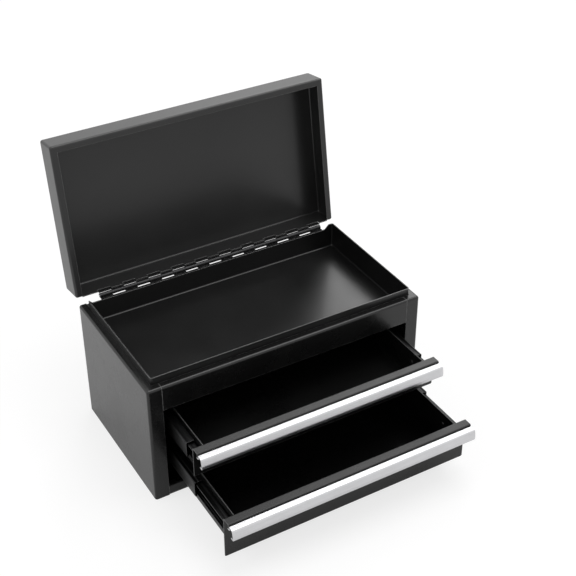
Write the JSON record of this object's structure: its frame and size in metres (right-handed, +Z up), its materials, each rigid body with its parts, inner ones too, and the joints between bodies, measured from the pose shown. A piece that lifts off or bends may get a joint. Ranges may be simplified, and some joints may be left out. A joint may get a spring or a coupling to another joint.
{
  "type": "bench tool chest",
  "caption": "Black sheet steel bench chest: hinged lid over a shallow till, and two drawers on ball-bearing slides with full-width aluminium pulls.",
  "frame": {"origin": "centre of the flat base, on the surface that the chest stands on", "axes": "+X to the right seen from the front, +Y to the back, +Z up"},
  "size_m": [0.32, 0.3663, 0.3141],
  "materials": {
    "case_paint": "black semi-gloss powder coat",
    "lid_paint": "black semi-gloss powder coat",
    "till_paint": "black semi-gloss powder coat",
    "drawer_paint": "black semi-gloss powder coat",
    "channel_paint": "black semi-gloss powder coat",
    "hinge_paint": "black semi-gloss powder coat",
    "handle_aluminium": "satin clear anodised",
    "slide_steel": "black zinc",
    "cage_steel": "bright zinc",
    "ball_steel": "polished",
    "rivet_steel": "dark plated",
    "pin_steel": "plain drawn wire"
  },
  "bodies": {
    "case": {"back_panel": "case_paint", "bottom_pan": "case_paint", "case_hinge_leaf": "hinge_paint", "front_header": "case_paint", "hinge_pin": "pin_steel", "left_front_slide_channel": "channel_paint", "left_rear_slide_channel": "channel_paint", "left_side_panel": "case_paint", "lower_left_cabinet_member": "slide_steel", "lower_right_cabinet_member": "slide_steel", "right_front_slide_channel": "channel_paint", "right_rear_slide_channel": "channel_paint", "right_side_panel": "case_paint", "slide_rivets": "rivet_steel", "till": "till_paint", "upper_left_cabinet_member": "slide_steel", "upper_right_cabinet_member": "slide_steel"},
    "lid": {"lid_shell": "lid_paint", "lid_hinge_leaf": "hinge_paint"},
    "upper_runner": {"upper_left_middle_member": "slide_steel", "upper_right_middle_member": "slide_steel"},
    "upper_drawer": {"upper_drawer_tray": "drawer_paint", "upper_drawer_back": "drawer_paint", "upper_drawer_front": "drawer_paint", "upper_drawer_handle": "handle_aluminium", "upper_drawer_rivets": "rivet_steel", "upper_left_drawer_member": "slide_steel", "upper_right_drawer_member": "slide_steel"},
    "upper_outer_cage": {"upper_left_outer_cage": "cage_steel", "upper_right_outer_cage": "cage_steel", "upper_outer_balls": "ball_steel"},
    "upper_inner_cage": {"upper_left_inner_cage": "cage_steel", "upper_right_inner_cage": "cage_steel", "upper_inner_balls": "ball_steel"},
    "lower_runner": {"lower_left_middle_member": "slide_steel", "lower_right_middle_member": "slide_steel"},
    "lower_drawer": {"lower_drawer_tray": "drawer_paint", "lower_drawer_back": "drawer_paint", "lower_drawer_front": "drawer_paint", "lower_drawer_handle": "handle_aluminium", "lower_drawer_rivets": "rivet_steel", "lower_left_drawer_member": "slide_steel", "lower_right_drawer_member": "slide_steel"},
    "lower_outer_cage": {"lower_left_outer_cage": "cage_steel", "lower_right_outer_cage": "cage_steel", "lower_outer_balls": "ball_steel"},
    "lower_inner_cage": {"lower_left_inner_cage": "cage_steel", "lower_right_inner_cage": "cage_steel", "lower_inner_balls": "ball_steel"}
  },
  "joints": [
    {"name": "lid_hinge", "type": "hinge", "parent": "case", "child": "lid", "pos_m": [0, 0.08955, 0.14175], "axis": [-1, 0, 0], "range_deg": [-99, 0]},
    {"name": "upper_runner_slide", "type": "slide", "parent": "case", "child": "upper_runner", "axis": [0, -1, 0], "range_m": [-0.05901, 0.01349]},
    {"name": "upper_drawer_slide", "type": "slide", "parent": "upper_runner", "child": "upper_drawer", "axis": [0, -1, 0], "range_m": [-0.01566, 0.05684]},
    {"name": "upper_outer_cage_slide", "type": "slide", "parent": "case", "child": "upper_outer_cage", "axis": [0, -1, 0], "range_m": [-0.02951, 0.00674]},
    {"name": "upper_inner_cage_slide", "type": "slide", "parent": "upper_runner", "child": "upper_inner_cage", "axis": [0, -1, 0], "range_m": [-0.00783, 0.02842]},
    {"name": "lower_runner_slide", "type": "slide", "parent": "case", "child": "lower_runner", "axis": [0, -1, 0], "range_m": [-0.0725, 0]},
    {"name": "lower_drawer_slide", "type": "slide", "parent": "lower_runner", "child": "lower_drawer", "axis": [0, -1, 0], "range_m": [-0.06221, 0.0103]},
    {"name": "lower_outer_cage_slide", "type": "slide", "parent": "case", "child": "lower_outer_cage", "axis": [0, -1, 0], "range_m": [-0.03625, 0]},
    {"name": "lower_inner_cage_slide", "type": "slide", "parent": "lower_runner", "child": "lower_inner_cage", "axis": [0, -1, 0], "range_m": [-0.0311, 0.00515]}
  ],
  "couplings": [
    {"joint": "upper_outer_cage_slide", "follows": "upper_runner_slide", "ratio": 0.5},
    {"joint": "upper_inner_cage_slide", "follows": "upper_drawer_slide", "ratio": 0.5},
    {"joint": "lower_outer_cage_slide", "follows": "lower_runner_slide", "ratio": 0.5},
    {"joint": "lower_inner_cage_slide", "follows": "lower_drawer_slide", "ratio": 0.5}
  ]
}
